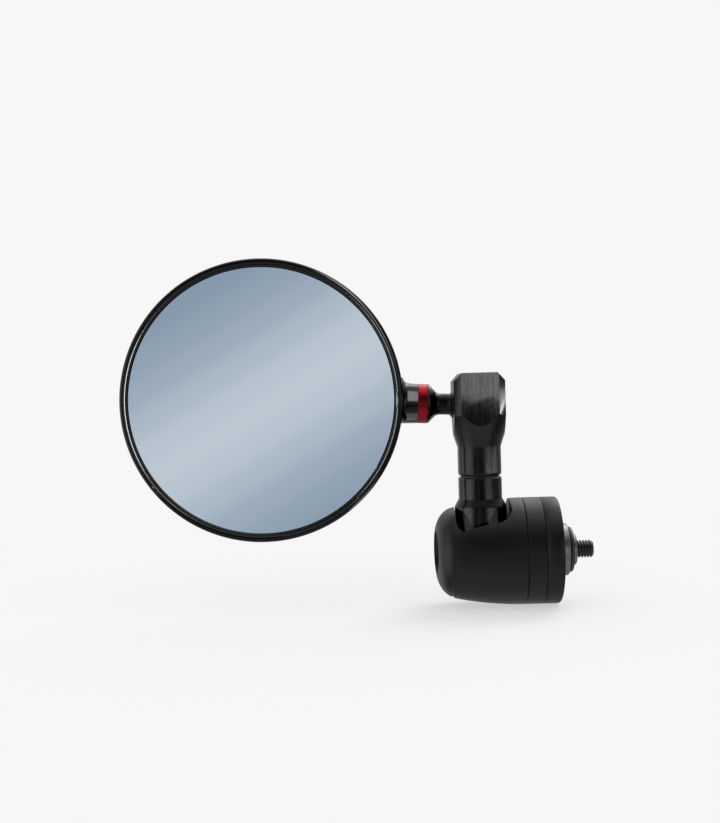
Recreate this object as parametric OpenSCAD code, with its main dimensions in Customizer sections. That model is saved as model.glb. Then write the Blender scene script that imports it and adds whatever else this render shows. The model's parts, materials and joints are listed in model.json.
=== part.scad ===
// Bar end mirror for a motorcycle: a round mirror on a ball-jointed stem, a two-piece
// swivelling arm and a turned base that a through bolt pulls against the handlebar's end.
// The origin is the centre of the base's seat on the bar, +X points into the bar, +Z runs up the
// arm, and the glass faces -Y.

/* [Mirror head] */
// Outer diameter of the mirror housing
mirror_d = 94.3; // [84:0.1:104]
// Thickness of the housing, from the rim's crest to the back of the dome
mirror_t = 14; // [13:0.25:17]
// Width of the rim outside the seal
rim_w = 2; // [1.8:0.1:3]
// Width of the bevel on the rim's inner side
rim_bevel = 0.75; // [0.4:0.05:1]
// Distance of the rim's crest in front of the stem's axis
rim_front = 8; // [7.5:0.1:9]
// Height of the housing's side wall, from the crest to where the dome starts
side_h = 6.6; // [5.5:0.1:8]
// Radius of the shoulder between the side wall and the dome
shoulder_r = 3; // [2:0.25:4]
// Wall of the hollow dome
dome_wall = 2.2; // [1.5:0.1:3]
// Visible width of the black seal round the glass
seal_w = 0.55; // [0.4:0.05:1]
// Thickness of the glass at its edge
glass_t = 2.2; // [1.8:0.1:3]
// Radius of the glass's slightly convex face
glass_curve = 1200; // [900:50:3000]
// Depth of the glass's edge behind the rim's crest
glass_sink = 0.95; // [0.9:0.05:1.5]
// Thickness of the adhesive tape behind the glass
tape_t = 1; // [0.5:0.1:1.2]
// Width of the ledge that carries the tape
ledge_w = 7; // [4:0.5:12]

/* [Stem and ball joint] */
// Length of the boss that stands out between the accent ring and the rim
boss_len = 5; // [4.5:0.1:12]
// Draft of the boss: how much its radius grows up to the rim
boss_draft = 0.2; // [0:0.05:0.4]
// Angle by which the stem is raised at rest
mirror_rise = 2.8; // [0:0.1:4]
// Diameter of the ball
ball_d = 12; // [11:0.1:12.2]
// Depth of the ball's centre behind the arm head's face
ball_depth = 3.75; // [3.6:0.05:4.2]
// Diameter of the neck between the ball and the stem
neck_d = 7.1; // [5.8:0.1:7.2]
// Distance from the ball's centre to the joint between neck and collar
neck_len = 9.8; // [9.6:0.1:11]
// Diameter of the neck's flared shoulder
shoulder_d = 8.6; // [8:0.1:9]
// Length of the conical collar
collar_len = 2.5; // [1.8:0.1:3]
// Width of the coloured accent ring
accent_w = 3.3; // [2:0.1:4]
// Diameter of the stem, which the collar, the accent ring and the housing's boss share
stem_d = 13.2; // [12:0.1:13.8]
// Diameter of the stud's threaded shank
shank_d = 5; // [4:0.5:6]
// Height of the fillet above the boss, where it meets the rim
flare_h = 1.9; // [1:0.1:2.5]
// Length of the fairing behind the dome that carries the boss
fairing_len = 26; // [18:1:34]

/* [Ball seats] */
// Thickness of the lip that holds the front seat in the arm head
lip_t = 0.8; // [0.6:0.1:1.2]
// Radial thickness of the front seat at the ball's widest part
front_seat_t = 0.3; // [0.25:0.05:0.5]
// Thickness of the rear seat behind the ball
rear_seat_t = 1.35; // [1:0.05:1.6]
// Depth to which the adjuster plug is sunk in the arm head
plug_sink = 0.6; // [0.2:0.1:1.5]
// Width across the flats of the plug's hex socket
plug_key = 6; // [5:1:8]

/* [Upper arm] */
// Width of the arm's head, across the handlebar's direction
head_w = 17.1; // [16.7:0.1:19]
// Depth of the arm's head, front to back
head_d = 20; // [18:0.1:21]
// Width of the chamfers on the head's upright corners
corner_cut = 2.2; // [1.8:0.1:2.4]
// Width of the chamfers on the head's top, left and right
top_cut = 2.7; // [1.5:0.1:3]
// Height of the head's top above the bar's axis
head_top = 60.3; // [59.5:0.1:64]
// Height of the ball's centre above the bar's axis
ball_z = 49.8; // [49.3:0.1:50.8]
// Height above the bar's axis at which the arm starts to widen to the head
cone_z = 35.4; // [34.4:0.1:37]
// Angle at which the arm starts to widen
flare_angle = 16.7; // [14:0.1:24]
// Radius of the hollow curve in which the arm widens to the head
flare_curve = 64; // [56:1:200]
// Diameter of both arms at the swivel
arm_d = 14.6; // [13.5:0.1:15]

/* [Swivel] */
// Height of the swivel joint above the bar's axis
swivel_z = 25.3; // [24.5:0.1:26]
// Diameter of the lower arm's spigot, which turns in the upper arm
spigot_d = 8; // [7:0.1:8.5]
// Length of the spigot
spigot_len = 10.4; // [10:0.1:11]
// Thickness of the nylon washer between the arms
swivel_washer_t = 0.5; // [0.3:0.1:0.8]
// Diameter of the grub screw that keeps the spigot in
grub_d = 4; // [3:0.5:4]
// Depth of the groove that the grub screw runs in
groove_depth = 0.8; // [0.5:0.1:1]

/* [Lower arm] */
// Diameter of the arm's barrel in the base
barrel_d = 17.5; // [17:0.1:18.2]
// Height above the bar's axis at which the barrel starts to narrow
barrel_z = 15.5; // [13.5:0.1:16]
// Height over which the barrel narrows to the arm
taper_h = 2.6; // [1.8:0.1:6]
// Thickness of the tongue that the clamp bolt passes through
tongue_t = 10; // [8:0.25:11]

/* [Base] */
// Diameter of the base
base_d = 35.8; // [35.2:0.1:40]
// Distance from the bar's end to the arm's axis
arm_reach = 25.6; // [25.4:0.1:27]
// Length of the base's rounded shell
shell_len = 29.6; // [28.4:0.1:31]
// Width of the clamp ring
clamp_ring_w = 6.1; // [5:0.1:6.3]
// Width of the end ring
end_ring_w = 5.7; // [5:0.1:6.5]
// Radius of the round at the shell's outboard end
end_round = 9; // [6:0.1:10]
// Radius of the shell's long side curve
side_curve = 110; // [90:5:200]
// Radius of the end ring's rounded edge
ring_round = 1; // [0.5:0.1:1.5]
// Width of the fine chamfers along the joint lines
edge_break = 0.25; // [0.1:0.05:0.5]
// Wall of the shell round the arm's barrel, at the clamp ring
shell_wall = 4; // [3.6:0.1:4.4]
// Diameter of the bosses that clamp the tongue
clamp_boss_d = 16.6; // [14:0.1:16.8]
// Distance of the window's bar-side edge from the arm's axis
window_inboard = 9.4; // [9.3:0.1:9.7]
// Distance of the window's outboard edge from the arm's axis
window_outboard = 10.4; // [9.3:0.1:11]
// Distance of the window's front and rear edges from the bore's wall
window_inset = 0.3; // [0.2:0.1:1]
// Corner radius of the window on the bar's side
window_round = 4.6; // [3:0.1:7]
// Corner radius of the window on the outboard side
window_small_round = 4; // [1:0.1:5]
// Diameter of the counterbore for the bolt's head
counterbore_d = 14.2; // [13:0.1:14.6]
// Depth of the counterbore
counterbore_depth = 6.5; // [6:0.1:6.9]

/* [Clamp bolt and bar spigot] */
// Diameter of the bolt's thread
bolt_d = 6; // [5:0.5:6]
// Diameter of the bolt's plain shank, which is the arm's hinge pin
bolt_shank_d = 6.5; // [6.4:0.1:7]
// Length of thread that stands out past the spigot's nose
thread_len = 5.8; // [4:0.2:30]
// Diameter of the bolt's low head
bolt_head_d = 10; // [9:0.5:11]
// Height of the bolt's low head
bolt_head_h = 4; // [3:0.1:4.2]
// Width across the flats of the bolt's hex socket
bolt_key = 4; // [3:0.5:5]
// Thickness of the washer under the bolt's head
bolt_washer_t = 1; // [0.8:0.1:1.2]
// Diameter of the washer under the bolt's head
bolt_washer_d = 12; // [11:0.5:12.5]
// Thickness of the friction washers beside the tongue
friction_washer_t = 0.6; // [0.4:0.1:1]
// Diameter of the spigot that centres the base in the bar
spigot_flange_d = 17.4; // [15:0.1:20]
// Length of that spigot
spigot_flange_w = 3.2; // [3:0.1:8]
// Width by which the spigot's sunk shoulder stands out past it
spigot_step = 0.6; // [0.4:0.1:1]
// Depth of that shoulder in the end ring's face
spigot_sink = 1; // [0.6:0.1:1.5]
// Diameter of the step that the O-ring is stretched over
o_ring_step_d = 12.2; // [11.4:0.1:13.5]
// Section diameter of the O-ring
o_ring_t = 1.5; // [1:0.1:1.8]
// Diameter of the spigot's nose
nose_d = 10.5; // [9:0.1:11.3]
// Length of the nose past the O-ring
nose_len = 1.2; // [0.6:0.1:2]
// Diameter of the spigot's tail in the end ring
tail_d = 12; // [10:0.5:14]
// Length of the spigot's tail
tail_len = 4; // [3:0.1:4.8]

/* [Fits] */
// Radial clearance of a pin or ball that turns in its seat
turning_gap = 0.05; // [0.02:0.01:0.09]
// Clearance between pieces that are fitted together for good
fixed_gap = 0.05; // [0.02:0.01:0.1]
// Clearance between flat faces that slide on each other
face_gap = 0.02; // [0.01:0.01:0.05]
// Radial clearance of the bolt's shank in the pieces that don't turn on it
bolt_gap = 0.3; // [0.2:0.05:0.5]

/* [Hidden] */
$fn = 96;

// A little more than a cut needs, so that it runs clear of the faces it opens
over = 1;
// Steps in a quarter turn of a rounded profile
round_steps = 8;

// Gap between the arm's barrel and the bosses beside its tongue
saddle_gap = 0.35;
// Small step that keeps one outline from sharing its edge with the next
fine_step = 0.1;
// Chamfers: on the stem's rings and washers, on the spigots, and on the screws' ends
fine_break = 0.15;
spigot_break = 0.3;
screw_break = 0.4;
// Inset of the glass's tape from the edges beside it
tape_inset = 0.5;
// Angle that the housing's shoulder turns through before the dome starts
shoulder_turn = 84;
// Radius of the fairing's tip, as a share of its full radius
fairing_tip = 0.2;
// Slope at which the neck's fillet leaves its shoulder
neck_fillet_angle = 45;
// Angles at the ball's centre where the rear seat ends and where the plug starts
seat_rim_angle = 43;
plug_rim_angle = 50;
// Depth of the sockets in the plug, the bolt's head and the grub screw
plug_socket = 4;
bolt_socket = 2.2;
grub_socket = 1.5;
// Place of the grub screw, as a share of the depth of the upper arm's bore
grub_share = 0.56;
// Play of the grub screw's tip in its groove, and of the spigot's end in its bore
groove_play = 0.3;
bore_play = 0.6;
// Inset of the swivel washer from the arm's outside
washer_inset = 0.8;
// Width and height of the upper arm's rounded foot
foot_w = 0.7;
foot_h = 1.2;
// Height of the window's floor above the bar's axis
window_floor = 2;

// Along the bar: planes between the base's pieces, from the bar outwards
ring_joint_x = -end_ring_w;
shell_joint_x = ring_joint_x - clamp_ring_w;
shell_end_x = shell_joint_x - shell_len;
arm_x = -arm_reach;
base_r = base_d / 2;
shell_bore_r = base_r - shell_wall;
tongue_face = tongue_t / 2 + face_gap;
clamp_face = tongue_face + friction_washer_t;
window_left_x = arm_x - window_outboard;
// The clamp ring's hub ends just past the window's edge
hub_x = arm_x + window_inboard + fixed_gap;
clamp_boss_r = clamp_boss_d / 2;
// The barrel's saddle clears the bosses
saddle_r = clamp_boss_r + saddle_gap;
barrel_r = barrel_d / 2;

// The clamp bolt
bolt_r = bolt_d / 2;
bolt_shank_r = bolt_shank_d / 2;
bolt_hole_r = bolt_shank_r + bolt_gap;
counterbore_x = shell_end_x + counterbore_depth;
bolt_seat_x = counterbore_x - bolt_washer_t;
spigot_r = spigot_flange_d / 2;
shoulder_ring_r = spigot_r + spigot_step;
o_ring_r = o_ring_step_d / 2 + o_ring_t / 2 + face_gap;
o_ring_x = spigot_flange_w + o_ring_t / 2 + face_gap;
nose_start_x = spigot_flange_w + o_ring_t + 2 * face_gap;
nose_x = nose_start_x + nose_len;
bolt_tip_x = nose_x + thread_len;
thread_point = bolt_d / 8;

// The arms
arm_r = arm_d / 2;
upper_z = swivel_z + swivel_washer_t + face_gap;
grub_z = upper_z + (spigot_len - swivel_washer_t) * grub_share;
grub_tip_r = grub_d * 0.3;
groove_r = spigot_d / 2 - groove_depth;
swivel_bore_r = spigot_d / 2 + turning_gap;

// The ball joint
ball_r = ball_d / 2;
ball_x = arm_x - head_w / 2 + ball_depth;
seat_r = ball_r + turning_gap;
ball_bore_r = ball_r + front_seat_t;
lip_x = -(ball_depth - lip_t);
rear_seat_r = seat_r + rear_seat_t;
// The rear seat keeps clear of the bore when it tips with the ball
rear_seat_x = rear_seat_r * cos(seat_rim_angle);
plug_start = rear_seat_r * cos(plug_rim_angle);
plug_end = head_w - ball_depth - plug_sink;

// The mirror head, with the ball's centre as its origin and the stem along -X
collar_end = neck_len + collar_len;
boss_end = collar_end + accent_w;
stem_r = stem_d / 2;
housing_r = mirror_d / 2;
recess_r = housing_r - rim_w;
glass_r = recess_r - seal_w;
glass_rim_depth = sqrt(pow(glass_curve, 2) - pow(glass_r, 2));
glass_edge_y = -rim_front + glass_sink;
glass_back_y = glass_edge_y + glass_t;
floor_y = glass_back_y + tape_t;
dome_top_y = mirror_t - rim_front;
dome_edge_y = side_h - rim_front;
rim_x = boss_end + boss_len;
mirror_reach = rim_x + housing_r;
recess_x = mirror_reach - recess_r;
shank_r = shank_d / 2;
shank_end = recess_x - 2 * spigot_break;

// Points along an arc from angle a to angle b
function arc(cx, cy, r, a, b, n) =
    [for (i = [0:n]) [cx + r * cos(a + (b - a) * i / n), cy + r * sin(a + (b - a) * i / n)]];

// A solid turned about the bar's direction, from points [x, radius]
module turned_x(points)
    rotate([0, 90, 0]) rotate_extrude() polygon([for (p = points) [p[1], p[0]]]);

// A solid turned about the front-to-back direction, from points [radius, y]
module turned_y(points)
    rotate([-90, 0, 0]) rotate_extrude() polygon(points);

// A round bar along X, from x1 to x2
module bar_x(r, x1, x2)
    translate([x1, 0, 0]) rotate([0, 90, 0]) cylinder(r = r, h = x2 - x1);

// A washer or ring about X, from x1 to x2, with its outer edges broken
module ring_x(r_out, r_in, x1, x2, cut1, cut2)
    turned_x([
        [x1, r_in], [x1, r_out - cut1], [x1 + cut1, r_out],
        [x2 - cut2, r_out], [x2, r_out - cut2], [x2, r_in]
    ]);

// A hexagon socket that starts at x and is cut towards +X
module hex_socket_x(key, x, depth)
    translate([x, 0, 0]) rotate([0, 90, 0]) cylinder(d = key / cos(30), h = depth, $fn = 6);

// Places a piece of the ball joint at the ball's centre
module at_ball()
    translate([ball_x, 0, ball_z]) children();

// Places a piece of the stem or the mirror head, which stand raised by mirror_rise
module on_stem()
    at_ball() rotate([0, mirror_rise, 0]) children();

// Places a piece at the mirror's centre
module at_mirror()
    on_stem() translate([-mirror_reach, 0, 0]) children();

// Mirror head

// The dome's curve: y at a distance r from the centre, for a shell this far inside the outer face
function dome_radius() = let (rise = dome_top_y - dome_edge_y)
    (pow(housing_r, 2) + pow(rise, 2)) / (2 * rise);
function dome_y(r, inside = 0) =
    dome_top_y - dome_radius() + sqrt(pow(dome_radius() - inside, 2) - pow(r, 2));

module housing_outside() {
    rim_round = rim_w - rim_bevel;
    steps = 12;
    shoulder_at = housing_r - shoulder_r;
    turned_y(concat(
        [[0, -rim_front + rim_bevel], [recess_r, -rim_front + rim_bevel],
            [recess_r + rim_bevel, -rim_front]],
        arc(housing_r - rim_round, -rim_front + rim_round, rim_round, -90, 0, round_steps),
        arc(shoulder_at, dome_y(shoulder_at) - shoulder_r, shoulder_r, 0, shoulder_turn, round_steps),
        [for (i = [1:steps]) let (r = shoulder_at * (1 - i / steps)) [r, dome_y(r)]]
    ));
}

module housing_hollow() {
    steps = 10;
    hollow_r = recess_r - ledge_w;
    turned_y(concat(
        [[0, floor_y - over], [hollow_r, floor_y - over]],
        [for (i = [0:steps]) let (r = hollow_r * (1 - i / steps)) [r, dome_y(r, dome_wall)]]
    ));
}

// The boss and the fairing that carries it into the dome, with a fillet above only
module housing_boss() {
    lift = flare_h / 2;
    boss_r = stem_r + boss_draft;
    flare_r = boss_r - lift;
    full_r = flare_r + flare_h - fixed_gap;
    taper = 10;
    turned_x([
        [-(rim_x + flare_h), 0], [-(rim_x + flare_h), boss_r], [-rim_x, boss_r],
        [-(boss_end + face_gap), stem_r], [-(boss_end + face_gap), 0]
    ]);
    translate([0, 0, lift])
        turned_x(concat(
            [[-rim_x + flare_h, 0]],
            [for (i = [0:round_steps]) let (a = 90 * i / round_steps)
                [-rim_x + flare_h * (1 - sin(a)), flare_r + (full_r - flare_r) * (1 - cos(a))]],
            [for (i = [1:taper]) let (t = i / taper)
                [-rim_x - fairing_len * t, full_r * sqrt(1 - (1 - pow(fairing_tip, 2)) * t * t)]],
            [[-rim_x - fairing_len, 0]]
        ));
}

module mirror_housing() color("#1b1b1c")
    on_stem() difference() {
        union() {
            translate([-mirror_reach, 0, 0]) difference() {
                housing_outside();
                housing_hollow();
            }
            housing_boss();
        }
        translate([-mirror_reach, -rim_front - over, 0]) rotate([-90, 0, 0])
            cylinder(r = recess_r, h = floor_y + rim_front + over);
        bar_x(shank_r + turning_gap, -(shank_end + screw_break), -boss_end + over);
    }

module mirror_glass() color("#8fa2b6")
    at_mirror() {
        steps = 16;
        turned_y(concat(
            [[0, glass_back_y], [glass_r, glass_back_y]],
            [for (i = [0:steps]) let (r = glass_r * (1 - i / steps))
                [r, glass_edge_y + glass_rim_depth - sqrt(pow(glass_curve, 2) - pow(r, 2))]]
        ));
    }

module glass_seal() color("#0c0c0d")
    at_mirror() turned_y([
        [glass_r + face_gap, floor_y], [glass_r + face_gap, glass_edge_y + fine_step],
        [glass_r + seal_w / 2, glass_edge_y - fine_step],
        [recess_r - face_gap, glass_edge_y + fine_step], [recess_r - face_gap, floor_y]
    ]);

module glass_tape() color("#3a3a3a")
    at_mirror() turned_y([
        [recess_r - ledge_w + tape_inset, floor_y],
        [recess_r - ledge_w + tape_inset, glass_back_y],
        [glass_r - tape_inset, glass_back_y], [glass_r - tape_inset, floor_y]
    ]);

// Stem and ball

module accent_ring() color("#a8141f")
    on_stem() ring_x(stem_r, shank_r + fixed_gap, -boss_end, -collar_end, fine_break, fine_break);

module stem_collar() color("#3c3c3e")
    on_stem() turned_x([
        [-collar_end, shank_r + fixed_gap], [-collar_end, stem_r - fine_break],
        [-collar_end + fine_break, stem_r], [-collar_end + 2 * fine_break, stem_r],
        [-neck_len, shoulder_d / 2], [-neck_len, shank_r + fixed_gap]
    ]);

module ball_stud() color("#1e1e1f")
    on_stem() {
        neck_r = neck_d / 2;
        fillet_r = (shoulder_d / 2 - neck_r) / (1 - cos(neck_fillet_angle));
        sphere(r = ball_r);
        turned_x(concat(
            [[-shank_end, 0], [-shank_end, shank_r - screw_break],
                [-shank_end + screw_break, shank_r], [-neck_len, shank_r]],
            arc(-neck_len + fillet_r * sin(neck_fillet_angle), neck_r + fillet_r,
                fillet_r, 270 - neck_fillet_angle, 270, round_steps),
            [[-ball_r / 2, neck_r], [-ball_r / 2, 0]]
        ));
    }

module rear_seat() color("#d9d6cc")
    at_ball() rotate([0, 90, 0]) rotate_extrude() intersection() {
        difference() {
            circle(r = rear_seat_r);
            circle(r = seat_r);
        }
        translate([0, rear_seat_x]) square(rear_seat_r);
    }

module front_seat() color("#d9d6cc")
    at_ball() difference() {
        bar_x(ball_bore_r - face_gap, lip_x + face_gap, -fine_step);
        sphere(r = seat_r);
    }

module adjuster_plug() color("#2a2a2b")
    at_ball() difference() {
        ring_x(ball_bore_r - fixed_gap, 0, plug_start, plug_end, 0, spigot_break);
        sphere(r = rear_seat_r + turning_gap);
        hex_socket_x(plug_key, plug_end - plug_socket, plug_socket + over);
    }

// Upper arm

module head_block() {
    w = head_w / 2;
    d = head_d / 2;
    c = corner_cut;
    translate([arm_x, 0, upper_z]) intersection() {
        linear_extrude(head_top - upper_z) polygon([
            [w - c, -d], [w, -d + c], [w, d - c], [w - c, d],
            [-w + c, d], [-w, d - c], [-w, -d + c], [-w + c, -d]
        ]);
        rotate([90, 0, 0]) linear_extrude(head_d + 2 * over, center = true) polygon([
            [-w - over, -over], [w + over, -over], [w + over, head_top - upper_z - top_cut - over],
            [w - top_cut, head_top - upper_z], [-w + top_cut, head_top - upper_z],
            [-w - over, head_top - upper_z - top_cut - over]
        ]);
    }
}

// The turned outside of the upper arm: a cylinder with a rounded foot, then a hollow flare
module arm_outside() {
    full_r = norm([head_w / 2, head_d / 2]);
    full_angle = acos(cos(flare_angle) - (full_r - arm_r) / flare_curve);
    translate([arm_x, 0, 0]) rotate_extrude() polygon(concat(
        [[0, upper_z]],
        [for (i = [0:round_steps]) let (a = 90 * i / round_steps)
            [arm_r - foot_w * (1 - sin(a)), upper_z + foot_h * (1 - cos(a))]],
        arc(arm_r + flare_curve * cos(flare_angle), cone_z - flare_curve * sin(flare_angle),
            flare_curve, 180 - flare_angle, 180 - full_angle, round_steps),
        [[full_r, head_top + over], [0, head_top + over]]
    ));
}

module upper_arm() color("#232324")
    difference() {
        intersection() {
            head_block();
            arm_outside();
        }
        translate([arm_x, 0, upper_z - over])
            cylinder(r = swivel_bore_r, h = spigot_len - swivel_washer_t + bore_play + over);
        translate([arm_x, 0, grub_z]) rotate([-90, 0, 0])
            cylinder(r = grub_d / 2 + fixed_gap, h = arm_r + over);
        at_ball() {
            sphere(r = seat_r);
            bar_x(ball_bore_r, lip_x, head_w);
        }
    }

module swivel_screw() color("#2a2a2b")
    translate([arm_x, 0, grub_z]) rotate([-90, 0, 0]) difference() {
        tip_y = groove_r + fine_step;
        step_y = swivel_bore_r + fine_step;
        head_y = arm_r - screw_break;
        rotate_extrude() polygon([
            [0, tip_y], [grub_tip_r, tip_y], [grub_tip_r, step_y],
            [grub_d / 2, step_y], [grub_d / 2, head_y], [0, head_y]
        ]);
        translate([0, 0, head_y - grub_socket])
            cylinder(d = grub_d / 2 / cos(30), h = grub_socket + over, $fn = 6);
    }

// Lower arm

module lower_arm() color("#232324")
    translate([arm_x, 0, 0]) difference() {
        groove_h = 2 * grub_tip_r + groove_play;
        top_z = swivel_z + spigot_len;
        union() {
            rotate_extrude() polygon([
                [0, 0], [barrel_r, 0], [barrel_r, barrel_z], [arm_r, barrel_z + taper_h],
                [arm_r, swivel_z - spigot_break], [arm_r - spigot_break, swivel_z],
                [spigot_d / 2, swivel_z],
                [spigot_d / 2, grub_z - groove_h / 2], [groove_r, grub_z - groove_h / 2],
                [groove_r, grub_z + groove_h / 2], [spigot_d / 2, grub_z + groove_h / 2],
                [spigot_d / 2, top_z - spigot_break], [spigot_d / 2 - spigot_break, top_z],
                [0, top_z]
            ]);
            intersection() {
                bar_x(barrel_r - fine_step, -tongue_t / 2, tongue_t / 2);
                cylinder(r = barrel_r, h = barrel_d, center = true);
            }
        }
        for (side = [0, 1]) mirror([side, 0, 0])
            bar_x(saddle_r, tongue_t / 2, barrel_r + over);
        bar_x(bolt_shank_r + turning_gap, -tongue_t, tongue_t);
    }

module swivel_washer() color("#1c1c1c")
    translate([arm_x, 0, swivel_z]) difference() {
        cylinder(r = arm_r - washer_inset, h = swivel_washer_t);
        translate([0, 0, -over])
            cylinder(r = spigot_d / 2 + fixed_gap, h = swivel_washer_t + 2 * over);
    }

// Base

module shell_outside() {
    centre_r = base_r - side_curve;
    round_x = shell_end_x + end_round;
    round_r = centre_r + sqrt(pow(side_curve - end_round, 2) - pow(round_x - shell_joint_x, 2));
    turn = atan2(round_r - centre_r, round_x - shell_joint_x);
    break_angle = 90 + asin(edge_break / side_curve);
    turned_x(concat(
        [[shell_end_x, 0]],
        arc(round_x, round_r, end_round, 180, turn, round_steps + 2),
        arc(shell_joint_x, centre_r, side_curve, turn, break_angle, round_steps),
        [[shell_joint_x, base_r - edge_break], [shell_joint_x, 0]]
    ));
}

// The window's outline, seen from above: larger rounds towards the bar
module window_outline() {
    w = window_inboard;
    v = -window_outboard;
    l = shell_bore_r - window_inset;
    big = window_round;
    small = window_small_round;
    polygon(concat(
        arc(w - big, l - big, big, 0, 90, round_steps),
        arc(v + small, l - small, small, 90, 180, round_steps),
        arc(v + small, -l + small, small, 180, 270, round_steps),
        arc(w - big, -l + big, big, 270, 360, round_steps)
    ));
}

module base_shell() color("#262627")
    difference() {
        union() {
            difference() {
                shell_outside();
                bar_x(shell_bore_r, window_left_x, shell_joint_x + over);
                translate([arm_x, 0, window_floor]) linear_extrude(base_r) window_outline();
            }
            bar_x(clamp_boss_r, window_left_x - over, arm_x - clamp_face);
        }
        bar_x(counterbore_d / 2, shell_end_x - over, counterbore_x);
        bar_x(bolt_hole_r, shell_end_x, arm_x);
    }

module clamp_ring() color("#262627")
    turned_x([
        [arm_x + clamp_face, bolt_hole_r], [arm_x + clamp_face, clamp_boss_r],
        [hub_x, clamp_boss_r], [hub_x, shell_bore_r - fixed_gap],
        [shell_joint_x, shell_bore_r - fixed_gap], [shell_joint_x, base_r - edge_break],
        [shell_joint_x + edge_break, base_r], [ring_joint_x - edge_break, base_r],
        [ring_joint_x, base_r - edge_break], [ring_joint_x, bolt_hole_r]
    ]);

module end_ring() color("#262627") {
    r_in = tail_d / 2 + fixed_gap;
    turned_x(concat(
        [[ring_joint_x, r_in], [ring_joint_x, base_r - edge_break],
            [ring_joint_x + edge_break, base_r]],
        [for (i = [0:round_steps]) let (a = 90 * i / round_steps)
            [-ring_round * (1 - sin(a)), base_r - ring_round * (1 - cos(a))]],
        [[0, shoulder_ring_r + fixed_gap], [-spigot_sink - face_gap, shoulder_ring_r + fixed_gap],
            [-spigot_sink - face_gap, r_in]]
    ));
}

module friction_washer(x) color("#1c1c1c")
    ring_x(clamp_boss_r - fine_step, bolt_hole_r, x, x + friction_washer_t, 0, 0);

module friction_washer_outer()
    friction_washer(arm_x - clamp_face);

module friction_washer_inner()
    friction_washer(arm_x + tongue_face);

module clamp_bolt() color("#1c1c1d")
    difference() {
        head_x = bolt_seat_x - bolt_head_h;
        turned_x([
            [head_x, 0], [head_x, bolt_head_d / 2 - screw_break],
            [head_x + screw_break, bolt_head_d / 2],
            [bolt_seat_x, bolt_head_d / 2], [bolt_seat_x, bolt_shank_r], [nose_x, bolt_shank_r],
            [nose_x, bolt_r], [bolt_tip_x - thread_point, bolt_r],
            [bolt_tip_x, bolt_r - thread_point], [bolt_tip_x, 0]
        ]);
        hex_socket_x(bolt_key, head_x - over, bolt_socket + over);
    }

module bolt_washer() color("#77777a")
    ring_x(bolt_washer_d / 2, bolt_hole_r, bolt_seat_x, counterbore_x, fine_break, fine_break);

module bar_spigot() color("#a3a3a5")
    turned_x([
        [-tail_len, bolt_hole_r], [-tail_len, tail_d / 2], [-spigot_sink, tail_d / 2],
        [-spigot_sink, shoulder_ring_r], [0, shoulder_ring_r],
        [0, spigot_r], [spigot_flange_w - spigot_break, spigot_r],
        [spigot_flange_w, spigot_r - spigot_break], [spigot_flange_w, o_ring_step_d / 2],
        [nose_start_x, o_ring_step_d / 2], [nose_start_x, nose_d / 2],
        [nose_x - spigot_break, nose_d / 2], [nose_x, nose_d / 2 - spigot_break],
        [nose_x, bolt_hole_r]
    ]);

module o_ring() color("#141414")
    translate([o_ring_x, 0, 0]) rotate([0, 90, 0]) rotate_extrude()
        translate([o_ring_r, 0]) circle(d = o_ring_t);

mirror_housing();
mirror_glass();
glass_seal();
glass_tape();
accent_ring();
stem_collar();
ball_stud();
rear_seat();
upper_arm();
front_seat();
adjuster_plug();
swivel_screw();
lower_arm();
swivel_washer();
base_shell();
clamp_ring();
end_ring();
friction_washer_outer();
friction_washer_inner();
clamp_bolt();
bolt_washer();
bar_spigot();
o_ring();
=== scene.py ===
import json
import math

import bmesh
import bpy
from mathutils import Matrix, Vector

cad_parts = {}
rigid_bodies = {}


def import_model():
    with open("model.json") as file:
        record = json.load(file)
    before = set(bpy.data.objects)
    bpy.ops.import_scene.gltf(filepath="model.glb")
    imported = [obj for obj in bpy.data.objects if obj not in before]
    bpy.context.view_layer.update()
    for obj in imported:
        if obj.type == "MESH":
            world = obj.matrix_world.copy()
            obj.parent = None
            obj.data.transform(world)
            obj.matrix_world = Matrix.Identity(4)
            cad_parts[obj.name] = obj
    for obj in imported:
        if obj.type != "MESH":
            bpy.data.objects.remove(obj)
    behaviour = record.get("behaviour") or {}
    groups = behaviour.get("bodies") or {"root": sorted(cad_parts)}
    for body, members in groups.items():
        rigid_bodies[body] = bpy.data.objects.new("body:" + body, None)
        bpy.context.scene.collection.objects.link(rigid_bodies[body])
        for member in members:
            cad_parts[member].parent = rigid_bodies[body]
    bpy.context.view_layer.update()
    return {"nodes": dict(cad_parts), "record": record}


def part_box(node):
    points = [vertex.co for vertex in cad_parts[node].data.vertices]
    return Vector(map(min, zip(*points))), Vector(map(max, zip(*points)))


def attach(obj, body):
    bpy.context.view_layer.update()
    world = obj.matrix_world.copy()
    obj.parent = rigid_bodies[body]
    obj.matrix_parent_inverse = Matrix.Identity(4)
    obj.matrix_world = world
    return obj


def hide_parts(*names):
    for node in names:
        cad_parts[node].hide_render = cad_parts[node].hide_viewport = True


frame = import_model()
nodes = frame["nodes"]
bodies = frame["record"]["behaviour"]["bodies"]
slots = {part["node"]: part["material_slot"] for part in frame["record"]["subparts"]}
bodyOf = {node: body for body, members in bodies.items() for node in members}
mm = 0.001


# Colours and material nodes

def linearColour(hexText):
    channels = [int(hexText[i:i + 2], 16) / 255 for i in (1, 3, 5)]
    return tuple(c / 12.92 if c <= 0.04045 else ((c + 0.055) / 1.055) ** 2.4 for c in channels) + (1,)


# adds one node: inputs are set by name or number, to a value or to a socket that is linked
def addNode(tree, kind, inputs=None, **settings):
    node = tree.nodes.new(kind)
    for name, value in settings.items():
        setattr(node, name, value)
    for key, value in (inputs or {}).items():
        socket = node.inputs[key]
        if isinstance(value, bpy.types.NodeSocket):
            tree.links.new(value, socket)
        else:
            socket.default_value = value
    return node


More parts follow.
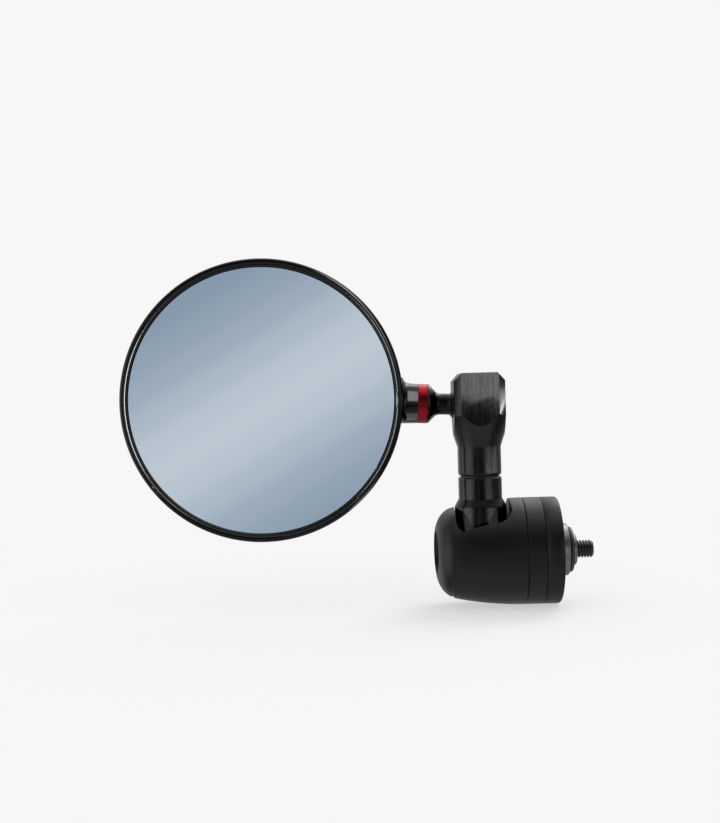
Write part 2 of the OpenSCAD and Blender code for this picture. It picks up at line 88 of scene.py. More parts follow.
def newMaterial(name, colour, metallic, roughness):
    material = bpy.data.materials.new(name)
    material.use_nodes = True
    tree = material.node_tree
    shader = tree.nodes["Principled BSDF"]
    shader.inputs["Base Color"].default_value = linearColour(colour)
    shader.inputs["Metallic"].default_value = metallic
    shader.inputs["Roughness"].default_value = roughness
    return material, tree, shader


# object coordinates in millimetres, turned and squeezed so that one unit is one grain
def grainPlace(tree, grain, turn=(0, 0, 0)):
    place = addNode(tree, "ShaderNodeTexCoord")
    return addNode(tree, "ShaderNodeMapping", {
        "Vector": place.outputs["Object"], "Rotation": turn,
        "Scale": tuple(1 / (size * mm) for size in grain)}).outputs["Vector"]


def noiseAt(tree, vector, detail=2.0, scale=1.0):
    return addNode(tree, "ShaderNodeTexNoise",
                   {"Vector": vector, "Scale": scale, "Detail": detail}).outputs["Fac"]


def rangeOf(tree, value, low, high, fromLow=0.3, fromHigh=0.7):
    return addNode(tree, "ShaderNodeMapRange", {
        "Value": value, "From Min": fromLow, "From Max": fromHigh,
        "To Min": low, "To Max": high}).outputs["Result"]


def blendColours(tree, value, darkHex, lightHex):
    mix = addNode(tree, "ShaderNodeMix", data_type="RGBA")
    tree.links.new(value, mix.inputs[0])
    mix.inputs[6].default_value = linearColour(darkHex)
    mix.inputs[7].default_value = linearColour(lightHex)
    return mix.outputs[2]


def bumpOf(tree, shader, value, height, strength=1.0):
    bump = addNode(tree, "ShaderNodeBump",
                   {"Height": value, "Distance": height * mm, "Strength": strength})
    tree.links.new(bump.outputs["Normal"], shader.inputs["Normal"])


brushSizes = {
    "headFrom": 40,             # mm up, where the head starts
    "stretch": 0.7,
    "up": (0.03, 0.05, 1),      # leans a little, so that flat tops have a direction too
}


# stretches the highlight across the tool's lines: they run up the head and round the turned parts
def acrossGrain(tree, shader):
    place = addNode(tree, "ShaderNodeTexCoord").outputs["Object"]
    height = addNode(tree, "ShaderNodeSeparateXYZ", {0: place}).outputs["Z"]
    isHead = addNode(tree, "ShaderNodeMath", {0: height, 1: brushSizes["headFrom"] * mm},
                     operation="GREATER_THAN").outputs[0]
    up = addNode(tree, "ShaderNodeVectorTransform", {0: brushSizes["up"]}, vector_type="VECTOR",
                 convert_from="OBJECT", convert_to="WORLD").outputs[0]
    outward = addNode(tree, "ShaderNodeNewGeometry").outputs["True Normal"]
    across = addNode(tree, "ShaderNodeVectorMath", {0: up, 1: outward},
                     operation="CROSS_PRODUCT").outputs[0]
    along = addNode(tree, "ShaderNodeMix", {0: isHead}, data_type="VECTOR")
    tree.links.new(up, along.inputs[4])
    tree.links.new(across, along.inputs[5])
    tree.links.new(along.outputs[1], shader.inputs["Tangent"])
    shader.inputs["Anisotropic"].default_value = brushSizes["stretch"]


# brushed black anodised aluminium: dyed oxide over a brushed face, with the oxide's fine sparkle
def brushedAnodised(name, darkHex, lightHex, grain):
    material, tree, shader = newMaterial(name, darkHex, 1.0, 0.22)
    lines = noiseAt(tree, grainPlace(tree, grain), 3.0)
    sparkle = noiseAt(tree, grainPlace(tree, (0.32, 0.32, 0.5)), 3.0)
    both = addNode(tree, "ShaderNodeMath", {0: lines, 1: sparkle}, operation="ADD").outputs[0]
    tree.links.new(rangeOf(tree, lines, 0.18, 0.27), shader.inputs["Roughness"])
    tree.links.new(blendColours(tree, rangeOf(tree, both, 0, 1, 0.75, 1.25), darkHex, lightHex),
                   shader.inputs["Base Color"])
    bumpOf(tree, shader, both, 0.005)
    acrossGrain(tree, shader)
    return material


# bead blasted black anodised aluminium: an even fine grain that spreads the light softly
def blastedAnodised(name, colour, roughness, grit=0.12):
    material, tree, shader = newMaterial(name, colour, 1.0, roughness)
    place = grainPlace(tree, (grit, grit, grit))
    grains = noiseAt(tree, place, 2.0)
    cloud = noiseAt(tree, grainPlace(tree, (9, 9, 9)), 1.0)
    tree.links.new(rangeOf(tree, cloud, roughness - 0.03, roughness + 0.03),
                   shader.inputs["Roughness"])
    bumpOf(tree, shader, grains, 0.006)
    return material


def plainFinish(name, colour, metallic, roughness, grit, height):
    material, tree, shader = newMaterial(name, colour, metallic, roughness)
    grains = noiseAt(tree, grainPlace(tree, grit), 2.0)
    tree.links.new(rangeOf(tree, grains, roughness * 0.85, roughness * 1.15),
                   shader.inputs["Roughness"])
    bumpOf(tree, shader, grains, height)
    return material


# blue tinted mirror glass: a silvered back seen through tinted glass, near perfect gloss
def mirrorGlass():
    material, tree, shader = newMaterial("blue tinted mirror glass", "#CED9E3", 1.0, 0.015)
    ripple = noiseAt(tree, grainPlace(tree, (40, 40, 40)), 1.0)
    tree.links.new(rangeOf(tree, ripple, 0.01, 0.03), shader.inputs["Roughness"])
    return material


# turned parts have fine rings, so their grain is short along the axis and long round it
finishes = {
    # turned, polished and dyed: a dark gloss with a faint grain
    "housing_black": plainFinish("gloss black anodised aluminium", "#1F1F20", 1.0, 0.2,
                                 (0.4, 0.4, 0.4), 0.002),
    "mirror_glass": mirrorGlass(),
    # moulded rubber: matt, with a fine bloom
    "seal_black": plainFinish("EPDM seal rubber", "#080808", 0.0, 0.6, (0.2, 0.2, 0.2), 0.004),
    # foamed and slit: open cells that take no gloss
    "tape_grey": plainFinish("acrylic foam tape", "#4A4A4A", 0.0, 0.9, (0.3, 0.3, 0.3), 0.02),
    # turned and dyed red: satin, with the tool's rings
    "accent_red": plainFinish("red anodised aluminium", "#7B171E", 1.0, 0.34,
                              (0.06, 1.5, 1.5), 0.003),
    # turned and polished: narrow, bright highlights
    "collar_black": plainFinish("polished black anodised aluminium", "#2A2A2C", 1.0, 0.16,
                                (0.08, 2, 2), 0.002),
    # turned and oxide blackened: a softer gloss
    "stud_black": plainFinish("black oxide steel", "#1C1C1D", 1.0, 0.3, (0.1, 2, 2), 0.003),
    # moulded nylon: smooth and half matt
    "nylon_natural": plainFinish("natural nylon", "#D8D4C8", 0.0, 0.5, (0.4, 0.4, 0.4), 0.004),
    "nylon_black": plainFinish("black nylon", "#0E0E0E", 0.0, 0.5, (0.4, 0.4, 0.4), 0.004),
    "arm_black": brushedAnodised("brushed black anodised aluminium", "#1E1E1F", "#303031",
                                 (0.22, 0.22, 7)),
    # rolled thread, oxide blackened: greyish and a little rough
    "screw_black": plainFinish("black oxide screw steel", "#4E4E50", 1.0, 0.34,
                               (0.12, 0.12, 0.12), 0.004),
    "base_black": blastedAnodised("bead blasted black anodised aluminium", "#282829", 0.46),
    # stamped and plated: pale, with soft highlights
    "washer_steel": plainFinish("zinc plated steel", "#A4A4A6", 1.0, 0.3,
                                (0.3, 0.3, 0.3), 0.003),
    # turned and clear anodised: satin silver, with the tool's rings
    "spigot_silver": plainFinish("turned clear anodised aluminium", "#626264", 1.0, 0.36,
                                 (0.08, 3, 3), 0.003),
    # moulded rubber: smoother than the seal
    "o_ring_black": plainFinish("nitrile rubber", "#101010", 0.0, 0.45,
                                (0.15, 0.15, 0.15), 0.004),
}
print("materials made:", len(finishes))


# Pieces

edgeSizes = {
    "sharpAngle": 32,       # degrees, an edge over this stays sharp in the shading
    "roundFrom": 28,        # degrees, an edge over this is rounded
    "segments": 2,
    "sameVertex": 1e-6,     # m
    "flatAngle": 0.4,       # degrees, faces under this are one flat face
}


def newObject(name, data):
    thing = bpy.data.objects.new(name, data)
    bpy.context.scene.collection.objects.link(thing)
    return thing


def finishPiece(mesh, name, node, sharpAngle=edgeSizes["sharpAngle"]):
    mesh.name = name
    mesh.materials.clear()
    mesh.materials.append(finishes[slots[node]])
    for face in mesh.polygons:
        face.use_smooth = True
        face.material_index = 0
    mesh.set_sharp_from_angle(angle=math.radians(sharpAngle))
    piece = newObject(name, mesh)
    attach(piece, bodyOf[node])
    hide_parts(node)
    return piece


# a merged copy of a CAD mesh, its flat faces joined again
def mergedCopy(node):
    work = bmesh.new()
    work.from_mesh(nodes[node].data)
    bmesh.ops.remove_doubles(work, verts=work.verts, dist=edgeSizes["sameVertex"])
    bmesh.ops.dissolve_limit(work, angle_limit=math.radians(edgeSizes["flatAngle"]),
                             verts=work.verts, edges=work.edges)
    return work


def plainMesh(work):
    mesh = bpy.data.meshes.new("work")
    work.to_mesh(mesh)
    work.free()
    return mesh


# the mesh that a helper object's modifiers give; the helper goes
def appliedMesh(piece):
    depsgraph = bpy.context.evaluated_depsgraph_get()
    mesh = bpy.data.meshes.new_from_object(piece.evaluated_get(depsgraph))
    bpy.data.objects.remove(piece)
    return mesh


# breaks the sharp edges with a small round, as a deburred piece has
def roundEdges(work, width):
    piece = newObject("work", plainMesh(work))
    bevel = piece.modifiers.new("deburr", "BEVEL")
    bevel.width = width * mm
    bevel.segments = edgeSizes["segments"]
    bevel.limit_method = "ANGLE"
    bevel.angle_limit = math.radians(edgeSizes["roundFrom"])
    bevel.use_clamp_overlap = True
    return appliedMesh(piece)


# a solid turned about the Z axis and then placed by the matrix: points are (along, radius)
def turnedMesh(points, matrix, segments):
    work = bmesh.new()
    rings = []
    for along, radius in points:
        if radius == 0:
            rings.append([work.verts.new((0, 0, along))])
        else:
            rings.append([work.verts.new((radius * math.cos(2 * math.pi * k / segments),
                                          radius * math.sin(2 * math.pi * k / segments), along))
                          for k in range(segments)])
    for first, second in zip(rings, rings[1:]):
        for k in range(segments):
            after = (k + 1) % segments
            corners = [first[k % len(first)], first[after % len(first)],
                       second[after % len(second)], second[k % len(second)]]
            corners = [c for i, c in enumerate(corners) if c not in corners[:i]]
            if len(corners) > 2:
                work.faces.new(corners)
    bmesh.ops.recalc_face_normals(work, faces=work.faces)
    bmesh.ops.transform(work, matrix=matrix, verts=work.verts)
    return plainMesh(work)


# mm, the width of the round that breaks a piece's sharp edges; a piece not named gets none
edgeRounds = {
    "upper_arm": 0.12, "lower_arm": 0.1, "bar_spigot": 0.08, "bolt_washer": 0.08,
    "swivel_washer": 0.05, "base_shell": 0.12, "clamp_bolt": 0.08,
}
shellSizes = {              # mm, apart from the lean
    "lean": 0.054,          # slope by which the end turns towards the viewer's side
    "leanCentre": 7.5,      # behind the axis, where the lean moves nothing
    "leanStart": 0.3,       # left of the window's wall, where the lean begins
    "mouthRadius": 7.55,    # the counterbore's mouth as shown
    "solidMouth": 7.1,      # and as the solid has it
    "windowShift": 1.3,     # the window's left wall moves in towards the arm
    "windowLift": 0.3,      # and its outer edge rises
    "wallGap": 1.65,        # from the arm's box to the window's left wall
    "corner": 4,            # radius of the window's corners
    "cornerSide": 9.6,      # from the axis to the corners' centres
    "skinFrom": 15,         # radius past which a point is on the outside
    "near": 0.1,            # how far a point may lie from what it is taken for
    "closer": 0.05,
}


# the base's end leans, its counterbore opens out, and its window closes in on the arm
def shapeShell(work):
    size = {name: value * mm for name, value in shellSizes.items()}
    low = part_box("base_shell")[0]
    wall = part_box("lower_arm")[0].x - size["wallGap"]    # the window's left wall
    leanFrom = wall - size["leanStart"]
    cornerEnd = wall + size["corner"]
    for vert in work.verts:
        x, y, z = vert.co
        radius = math.hypot(y, z)
        if x < low.x + size["closer"] and abs(radius - size["solidMouth"]) < size["near"]:
            grow = size["mouthRadius"] / radius
            vert.co.y, vert.co.z = y * grow, z * grow
        if x < leanFrom:
            weight = ((leanFrom - x) / (leanFrom - low.x)) ** 2
            vert.co.x += shellSizes["lean"] * (size["leanCentre"] - y) * weight
        elif x < cornerEnd:
            around = math.hypot(x - cornerEnd, abs(y) - size["cornerSide"])
            onCorner = abs(around - size["corner"]) < size["closer"] and z > 0
            if abs(x - wall) < size["near"] or onCorner:
                share = (cornerEnd - x) / size["corner"]
                vert.co.x += size["windowShift"] * share
                if radius > size["skinFrom"]:
                    vert.co.z = z + size["windowLift"] * share


# mm from the mirror's axis: the solids' radius and the one shown
rimShapes = {
    "mirror_housing": ((45.15, 44.9), (45.9, 45.75)),
    "glass_seal": ((45.13, 44.88),),
}
rimDepth = 2      # mm behind the glass's back, where the rim's shapes end
rimNear = 0.012   # mm, how far a point may lie from its radius


def shapeRim(work, moves):
    low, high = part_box("mirror_glass")
    centre = (low + high) / 2
    for vert in work.verts:
        x, z = vert.co.x - centre.x, vert.co.z - centre.z
        radius = math.hypot(x, z)
        for given, shown in moves:
            if abs(radius - given * mm) < rimNear * mm and vert.co.y < high.y + rimDepth * mm:
                vert.co.x = centre.x + x * shown * mm / radius
                vert.co.z = centre.z + z * shown * mm / radius


madeBelow = ("mirror_glass", "clamp_bolt")
for node in nodes:
    if node in madeBelow:
        continue
    work = mergedCopy(node)
    if node == "base_shell":
        shapeShell(work)
    if node in rimShapes:
        shapeRim(work, rimShapes[node])
    width = edgeRounds.get(node, 0)
    mesh = roundEdges(work, width) if width else plainMesh(work)
    finishPiece(mesh, node + "_finish", node)
print("machined pieces dressed")


mirrorGlassSizes = {
    "curve": 1200,      # mm, radius of the glass's slight dome
    "edgeGap": 0.45,    # mm, less in radius than the solid, so that the seal shows
    "rings": 20, "segments": 256,
}


def makeGlass():
    low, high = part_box("mirror_glass")
    centre = (low + high) / 2
    radius = (high.z - low.z) / 2 - mirrorGlassSizes["edgeGap"] * mm
    curve = mirrorGlassSizes["curve"] * mm
    rings = mirrorGlassSizes["rings"]
    points = [(high.y, 0), (high.y, radius)]
    for k in range(rings + 1):
        r = radius * (1 - k / rings)
        points.append((low.y + curve - math.sqrt(curve ** 2 - r ** 2), r))
    turn = Matrix.Rotation(math.radians(-90), 4, "X")
    mesh = turnedMesh(points, Matrix.Translation((centre.x, 0, centre.z)) @ turn,
                      mirrorGlassSizes["segments"])
    finishPiece(mesh, "mirror_glass_finish", "mirror_glass")


makeGlass()

boltSizes = {
    "pitch": 1.0,          # mm
    "coreRadius": 2.46,    # mm
    "outerRadius": 3.0,    # mm
    "threadLength": 5.8,   # mm, what stands out past the spigot's nose
    "point": 0.7,          # mm, chamfer at the tip
    "lead": 0.4,           # mm, the thread goes on inside the spigot
    "overlap": 0.05,       # mm, the plain shank ends inside the thread
    "root": 0.08, "crest": 0.42,   # in pitches from the root, where a flank starts and ends
    "sides": 72, "rowsPerTurn": 16.0,
    "sharpAngle": 60,      # degrees
}


# thread of a screw: a fine cylinder whose radius follows the turns of the helix
def threadTree():
    tree = bpy.data.node_groups.new("screwThread", "GeometryNodeTree")
    face = tree.interface
    face.new_socket("Geometry", in_out="INPUT", socket_type="NodeSocketGeometry")
    for name in ("Pitch", "Core Radius", "Outer Radius", "Length", "Point", "Start"):
        face.new_socket(name, in_out="INPUT", socket_type="NodeSocketFloat")
    face.new_socket("Material", in_out="INPUT", socket_type="NodeSocketMaterial")
    face.new_socket("Geometry", in_out="OUTPUT", socket_type="NodeSocketGeometry")
    given = addNode(tree, "NodeGroupInput").outputs

    def math2(operation, a, b=0.0, c=0.0):
        return addNode(tree, "ShaderNodeMath", {0: a, 1: b, 2: c}, operation=operation).outputs[0]

    turns = math2("DIVIDE", given["Length"], given["Pitch"])
    rows = addNode(tree, "FunctionNodeFloatToInt", {
        0: math2("MULTIPLY", turns, boltSizes["rowsPerTurn"])}).outputs[0]
    blank = addNode(tree, "GeometryNodeMeshCylinder", {
        "Vertices": boltSizes["sides"], "Side Segments": rows, "Radius": given["Outer Radius"],
        "Depth": given["Length"]}, fill_type="NGON").outputs["Mesh"]
    place = addNode(tree, "ShaderNodeSeparateXYZ", {
        0: addNode(tree, "GeometryNodeInputPosition").outputs[0]}).outputs
    angle = math2("ARCTAN2", place["Y"], place["X"])
    phase = math2("SUBTRACT", math2("DIVIDE", place["Z"], given["Pitch"]),
                  math2("DIVIDE", angle, 2 * math.pi))
    wave = math2("PINGPONG", phase, 0.5)   # 0 at a root, 0.5 at a crest
    flank = addNode(tree, "ShaderNodeMapRange", {
        "Value": wave, "From Min": boltSizes["root"],
        "From Max": boltSizes["crest"]}).outputs["Result"]
    radius = math2("ADD", given["Core Radius"], math2(
        "MULTIPLY", flank, math2("SUBTRACT", given["Outer Radius"], given["Core Radius"])))
    fromTip = math2("SUBTRACT", math2("DIVIDE", given["Length"], 2.0), place["Z"])
    limit = math2("ADD", math2("SUBTRACT", given["Outer Radius"], given["Point"]), fromTip)
    shaped = math2("MINIMUM", radius, limit)
    scale = math2("DIVIDE", shaped, given["Outer Radius"])
    moved = addNode(tree, "ShaderNodeCombineXYZ", {
        0: math2("MULTIPLY", place["X"], scale), 1: math2("MULTIPLY", place["Y"], scale),
        2: place["Z"]}).outputs[0]
    threaded = addNode(tree, "GeometryNodeSetPosition", {
        "Geometry": blank, "Position": moved}).outputs[0]
    shift = addNode(tree, "ShaderNodeCombineXYZ", {
        0: math2("ADD", given["Start"], math2("DIVIDE", given["Length"], 2.0))}).outputs[0]
    placed = addNode(tree, "GeometryNodeTransform", {
        "Geometry": threaded, "Translation": shift,
        "Rotation": (0, math.radians(90), 0)}).outputs[0]
    real = addNode(tree, "GeometryNodeRealizeInstances", {0: placed}).outputs[0]
    done = addNode(tree, "GeometryNodeSetMaterial", {
        "Geometry": real, "Material": given["Material"]}).outputs[0]
    addNode(tree, "NodeGroupOutput", {0: done})
    return tree


def runNodes(tree, values):
    piece = newObject("work", bpy.data.meshes.new("work"))
    modifier = piece.modifiers.new("build", "NODES")
    modifier.node_group = tree
    for socket in tree.interface.items_tree:
        if socket.in_out == "INPUT" and socket.name in values:
            modifier[socket.identifier] = values[socket.name]
    return appliedMesh(piece)


def makeBolt():
    low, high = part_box("clamp_bolt")
    start = high.x - boltSizes["threadLength"] * mm
    work = mergedCopy("clamp_bolt")
    cut = start + boltSizes["overlap"] * mm
    parts = bmesh.ops.bisect_plane(work, geom=work.verts[:] + work.edges[:] + work.faces[:],
                                   plane_co=(cut, 0, 0), plane_no=(1, 0, 0), clear_outer=True)
    rim = [part for part in parts["geom_cut"] if isinstance(part, bmesh.types.BMEdge)]
    bmesh.ops.holes_fill(work, edges=rim)
    shank = roundEdges(work, edgeRounds["clamp_bolt"])
    finishPiece(shank, "clamp_bolt_finish", "clamp_bolt")
    lead = boltSizes["lead"] * mm
    mesh = runNodes(threadTree(), {
        "Pitch": boltSizes["pitch"] * mm, "Core Radius": boltSizes["coreRadius"] * mm,
        "Outer Radius": boltSizes["outerRadius"] * mm, "Point": boltSizes["point"] * mm,
        "Length": boltSizes["threadLength"] * mm + lead, "Start": start - lead,
        "Material": finishes["screw_black"]})
    finishPiece(mesh, "clamp_bolt_thread", "clamp_bolt", boltSizes["sharpAngle"])


makeBolt()
print("glass and bolt made")


# Stage, lights and camera

stageSizes = {
    "backdrop": "#F7F7F7",
    "floorGap": 0.3,         # mm under the base
    "floorSize": 8.0,        # m
    "floorPaper": 0.5,       # share of light that the paper gives back
    "evenLight": 0.55,       # what the walls give to matt surfaces
    "sunLight": 1.0,
    "sunPlace": (0.5, 0.75, 1.0),
    "sunAngle": 35,          # degrees across, for soft shadows
}


def makeFloor():
    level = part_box("clamp_ring")[0].z - stageSizes["floorGap"] * mm
    half = stageSizes["floorSize"] / 2
    mesh = bpy.data.meshes.new("studioFloor")
    mesh.from_pydata([(-half, -half, level), (half, -half, level), (half, half, level),
                      (-half, half, level)], [], [(0, 1, 2, 3)])
    floor = newObject("studioFloor", mesh)
    floor.visible_glossy = False
    material = bpy.data.materials.new("white paper")
    material.use_nodes = True
    tree = material.node_tree
    tree.nodes.clear()
    # the glow adds what the paper's own light lacks of the backdrop's brightness
    share = stageSizes["floorPaper"]
    slope = Vector(stageSizes["sunPlace"]).normalized().z
    own = share * (stageSizes["evenLight"] + stageSizes["sunLight"] * slope / math.pi)
    pale = linearColour(stageSizes["backdrop"])[0]
    glow = addNode(tree, "ShaderNodeEmission", {"Color": (1, 1, 1, 1), "Strength": pale - own})
    paper = addNode(tree, "ShaderNodeBsdfDiffuse", {"Color": (share, share, share, 1)})
    both = addNode(tree, "ShaderNodeAddShader", {0: glow.outputs[0], 1: paper.outputs[0]})
    addNode(tree, "ShaderNodeOutputMaterial", {"Surface": both.outputs[0]})
    mesh.materials.append(material)


# how bright the wall behind the camera is, by the distance from the band's middle
wallBand = {
    "across": (0.5, 0.0, -0.866), "middle": 0.027,
    "toward": (-0.09, -0.996, 0.0), "full": 13.5, "none": 18, "beside": 0.14,
    "stops": ((0.0, (0.82, 0.83, 0.84)), (0.035, (0.77, 0.79, 0.81)), (0.07, (0.66, 0.69, 0.73)),
              (0.105, (0.54, 0.59, 0.65)), (0.14, (0.46, 0.52, 0.59)), (0.18, (0.39, 0.455, 0.53)),
              (0.3, (0.32, 0.36, 0.41))),
}


# soft patches of the room that glossy faces see: half widths in degrees of the whole and of none
roomPatches = {
    "ceiling": {"toward": (0, 0.34, 0.94), "full": 8, "none": 66, "bright": 2.2},
    "floor": {"toward": (0, -0.36, -0.93), "full": 36, "none": 54, "bright": 0.9},
    "leftWall": {"toward": (-0.965, -0.26, 0.0), "full": 12, "none": 50, "bright": 2.4},
    "leftBack": {"toward": (-0.82, 0.57, 0.0), "full": 10, "none": 42, "bright": 0.6},
    "backWall": {"toward": (0, 0.9, -0.45), "full": 20, "none": 50, "bright": 0.45},
    "rightSide": {"toward": (1, 0.25, 0.0), "full": 15, "none": 50, "bright": 0.3},
    "rightWall": {"toward": (0.64, -0.77, 0.0), "full": 8, "none": 29, "bright": 1.6},
}


# 1 inside a cone of directions, fading to 0 outside it
def coneOf(tree, direction, patch):
    toward = tuple(Vector(patch["toward"]).normalized())
    along = addNode(tree, "ShaderNodeVectorMath", {0: direction, 1: toward},
                    operation="DOT_PRODUCT").outputs["Value"]
    return addNode(tree, "ShaderNodeMapRange", {
        "Value": along, "From Min": math.cos(math.radians(patch["none"])),
        "From Max": math.cos(math.radians(patch["full"]))},
        interpolation_type="SMOOTHSTEP").outputs["Result"]


def makeWorld():
    world = bpy.data.worlds.new("studio")
    bpy.context.scene.world = world
    world.use_nodes = True
    tree = world.node_tree
    tree.nodes.clear()
    direction = addNode(tree, "ShaderNodeTexCoord").outputs["Generated"]
    # a soft bright band crosses the wall from lower left to upper right
    across = addNode(tree, "ShaderNodeVectorMath", {0: direction, 1: wallBand["across"]},
                     operation="DOT_PRODUCT").outputs["Value"]
    offset = addNode(tree, "ShaderNodeMath", {0: across, 1: wallBand["middle"]},
                     operation="ADD").outputs[0]
    size = addNode(tree, "ShaderNodeMath", {0: offset}, operation="ABSOLUTE").outputs[0]
    ramp = addNode(tree, "ShaderNodeValToRGB", {0: size})
    ramp.color_ramp.interpolation = "EASE"
    stops = ramp.color_ramp.elements
    for place, colour in wallBand["stops"][2:]:
        stops.new(place)
    for stop, (place, colour) in zip(stops, wallBand["stops"]):
        stop.position = place
        stop.color = colour + (1,)
    even = stageSizes["evenLight"]
    beside = wallBand["beside"]
    front = addNode(tree, "ShaderNodeMix", {0: coneOf(tree, direction, wallBand)},
                    data_type="RGBA")
    front.inputs[6].default_value = (beside, beside, beside, 1)
    tree.links.new(ramp.outputs[0], front.inputs[7])
    glow = front.outputs[2]
    for patch in roomPatches.values():
        light = addNode(tree, "ShaderNodeVectorMath", {
            0: (patch["bright"],) * 3}, operation="SCALE")
        tree.links.new(coneOf(tree, direction, patch), light.inputs["Scale"])
        glow = addNode(tree, "ShaderNodeVectorMath", {0: glow, 1: light.outputs[0]},
                       operation="ADD").outputs[0]
    walls = addNode(tree, "ShaderNodeBackground", {"Color": glow})
    plain = addNode(tree, "ShaderNodeBackground", {"Color": (even, even, even, 1)})
    white = addNode(tree, "ShaderNodeBackground", {"Color": linearColour(stageSizes["backdrop"])})
    path = addNode(tree, "ShaderNodeLightPath").outputs
    lit = addNode(tree, "ShaderNodeMixShader", {
        0: path["Is Glossy Ray"], 1: plain.outputs[0], 2: walls.outputs[0]})
    seen = addNode(tree, "ShaderNodeMixShader", {
        0: path["Is Camera Ray"], 1: lit.outputs[0], 2: white.outputs[0]})
    addNode(tree, "ShaderNodeOutputWorld", {"Surface": seen.outputs[0]})


# cards of light that each light the pieces they name and nothing else; a card with shadesOf
# is shaded by those pieces alone, so the base's shell doesn't darken the arm in its window;
# place and aim in mm, size across and up in mm, brightness as seen in a mirror
cards = {
    "headCard": {"place": (-19.8, -38, 62.9), "aim": (-25.6, -10, 56.9), "size": (50, 26),
                 "bright": 5.0, "lights": ("upper_arm",)},
    "armCard": {"place": (100, -8, 45), "aim": (-18, 0, 45), "size": (80, 32),
                "bright": 9.0, "lights": ("upper_arm",)},
    "sleeveCard": {"place": (100, -58, 34), "aim": (-18, 0, 34), "size": (180, 12),
                   "bright": 30.0, "lights": ("upper_arm",)},
    "bevelLeft": {"place": (-60, -28, 52), "aim": (-143, -28, 52), "size": (36, 50),
                  "bright": 62.0, "lights": ("mirror_housing",)},
    "bevelRight": {"place": (-135, -20, 52), "aim": (-53, -20, 52), "size": (23, 54),
                   "bright": 32.0, "lights": ("mirror_housing",)},
    "bossLow": {"place": (-45, -8, 0), "aim": (-45, 0, 49), "size": (26, 50),
                "bright": 4.2, "lights": ("mirror_housing",)},
    "bossCard": {"place": (-45, -61.5, 110), "aim": (-48, 0, 49), "size": (30, 100),
                 "bright": 16.0, "lights": ("mirror_housing", "stem_collar")},
    "barrelLeft": {"place": (-117, -41, -6), "aim": (-25.6, 0, 12), "size": (84, 46),
                   "bright": 1.5, "lights": ("lower_arm",), "shadesOf": ("lower_arm",)},
    "barrelRight": {"place": (47.5, -68, -6), "aim": (-25.6, 0, 12), "size": (84, 46),
                    "bright": 1.5, "lights": ("lower_arm",), "shadesOf": ("lower_arm",)},
}


def piecesOf(name, nodes):
    group = bpy.data.collections.new(name)
    for piece in bpy.data.objects:
        if any(piece.name.startswith(node + "_") for node in nodes):
            group.objects.link(piece)
    return group


def makeCards():
    for name, card in cards.items():
        light = bpy.data.lights.new(name, "AREA")
        light.shape = "RECTANGLE"
        light.size, light.size_y = (length * mm for length in card["size"])
        light.energy = card["bright"] * math.pi * light.size * light.size_y
        lamp = newObject(name, light)
        lamp.visible_diffuse = False
        lamp.visible_camera = False
        place, aim = Vector(card["place"]) * mm, Vector(card["aim"]) * mm
        lamp.location = place
        lamp.rotation_mode = "QUATERNION"
        lamp.rotation_quaternion = (aim - place).to_track_quat("-Z", "Y")
        lamp.light_linking.receiver_collection = piecesOf(name + "Lights", card["lights"])
        if "shadesOf" in card:
            lamp.light_linking.blocker_collection = piecesOf(name + "Shades",
                                                             card["shadesOf"])


# its corners in mm, and how bright it is
flagSizes = {"low": (-36, -60, 10), "high": (-8, -60, 50), "dark": 0.15}


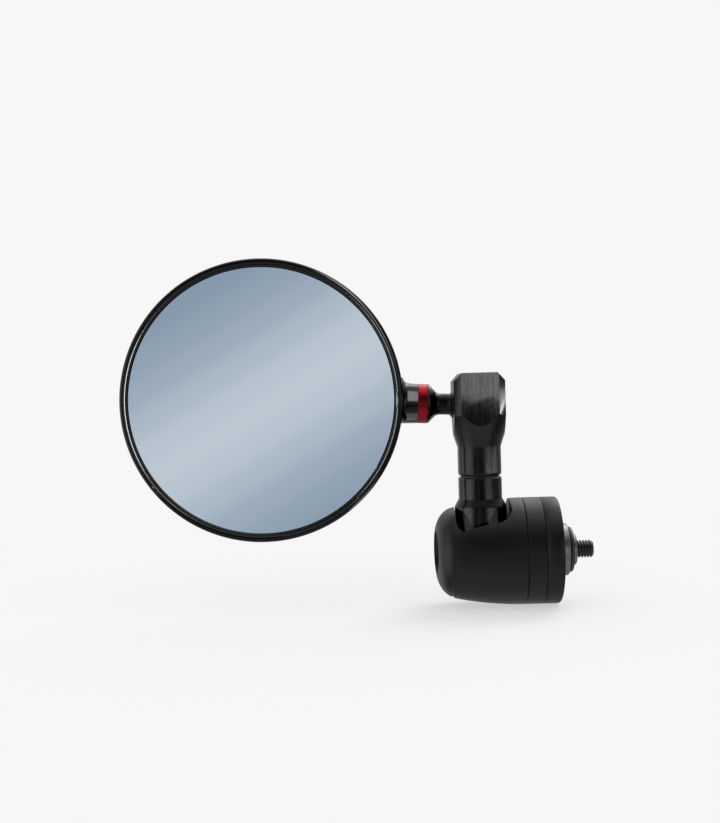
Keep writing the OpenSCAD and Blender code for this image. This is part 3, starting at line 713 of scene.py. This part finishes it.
# a dark flag that only glossy faces see, so that the middle of the arms stays dark
def makeFlag():
    (x0, y, z0), (x1, _, z1) = flagSizes["low"], flagSizes["high"]
    mesh = bpy.data.meshes.new("studioFlag")
    mesh.from_pydata([(x0 * mm, y * mm, z0 * mm), (x1 * mm, y * mm, z0 * mm),
                      (x1 * mm, y * mm, z1 * mm), (x0 * mm, y * mm, z1 * mm)], [], [(0, 1, 2, 3)])
    flag = newObject("studioFlag", mesh)
    flag.visible_camera = flag.visible_diffuse = flag.visible_shadow = False
    material = bpy.data.materials.new("black flag cloth")
    material.use_nodes = True
    tree = material.node_tree
    tree.nodes.clear()
    dark = flagSizes["dark"]
    glow = addNode(tree, "ShaderNodeEmission", {"Color": (dark, dark, dark, 1)})
    addNode(tree, "ShaderNodeOutputMaterial", {"Surface": glow.outputs[0]})
    mesh.materials.append(material)


def makeSun():
    light = bpy.data.lights.new("windowLight", "SUN")
    light.energy = stageSizes["sunLight"]
    light.angle = math.radians(stageSizes["sunAngle"])
    lamp = newObject("windowLight", light)
    shading = bpy.data.collections.new("windowLightShade")
    for piece in bpy.data.objects:
        node = piece.name.removesuffix("_finish")
        if node != piece.name and bodyOf[node] in ("base", "lower_arm"):
            shading.objects.link(piece)
    lamp.light_linking.blocker_collection = shading
    lamp.rotation_mode = "QUATERNION"
    lamp.rotation_quaternion = Vector(stageSizes["sunPlace"]).to_track_quat("Z", "Y")


makeFloor()
makeWorld()
makeCards()
makeFlag()
makeSun()

cameraSizes = {
    "place": (-61.7, -414.8, 55.3),                # mm
    "yaw": -0.51, "pitch": -0.95, "roll": -1.62,   # degrees
    "lens": 53.8, "sensor": 36,                    # mm; the sensor stands upright
    "nearest": 10,                                 # mm
}


# two axes at right angles, turned in their plane
def turned(first, second, angle):
    return (first * math.cos(angle) + second * math.sin(angle),
            second * math.cos(angle) - first * math.sin(angle))


def makeCamera():
    data = bpy.data.cameras.new("photoCamera")
    data.sensor_width = cameraSizes["sensor"]
    data.lens = cameraSizes["lens"]
    data.clip_start = cameraSizes["nearest"] * mm
    camera = newObject("photoCamera", data)
    yaw, pitch, roll = (math.radians(cameraSizes[k]) for k in ("yaw", "pitch", "roll"))
    ahead = Vector((math.sin(yaw), math.cos(yaw), 0))
    right = Vector((math.cos(yaw), -math.sin(yaw), 0))
    up = Vector((0, 0, 1))
    ahead, up = turned(ahead, up, pitch)
    right, up = turned(right, up, roll)
    turn = Matrix((right, up, -ahead)).transposed().to_4x4()
    camera.matrix_world = Matrix.Translation(Vector(cameraSizes["place"]) * mm) @ turn
    bpy.context.scene.camera = camera


makeCamera()
bpy.context.scene.view_settings.view_transform = "Standard"
print("stage, lights and camera set")
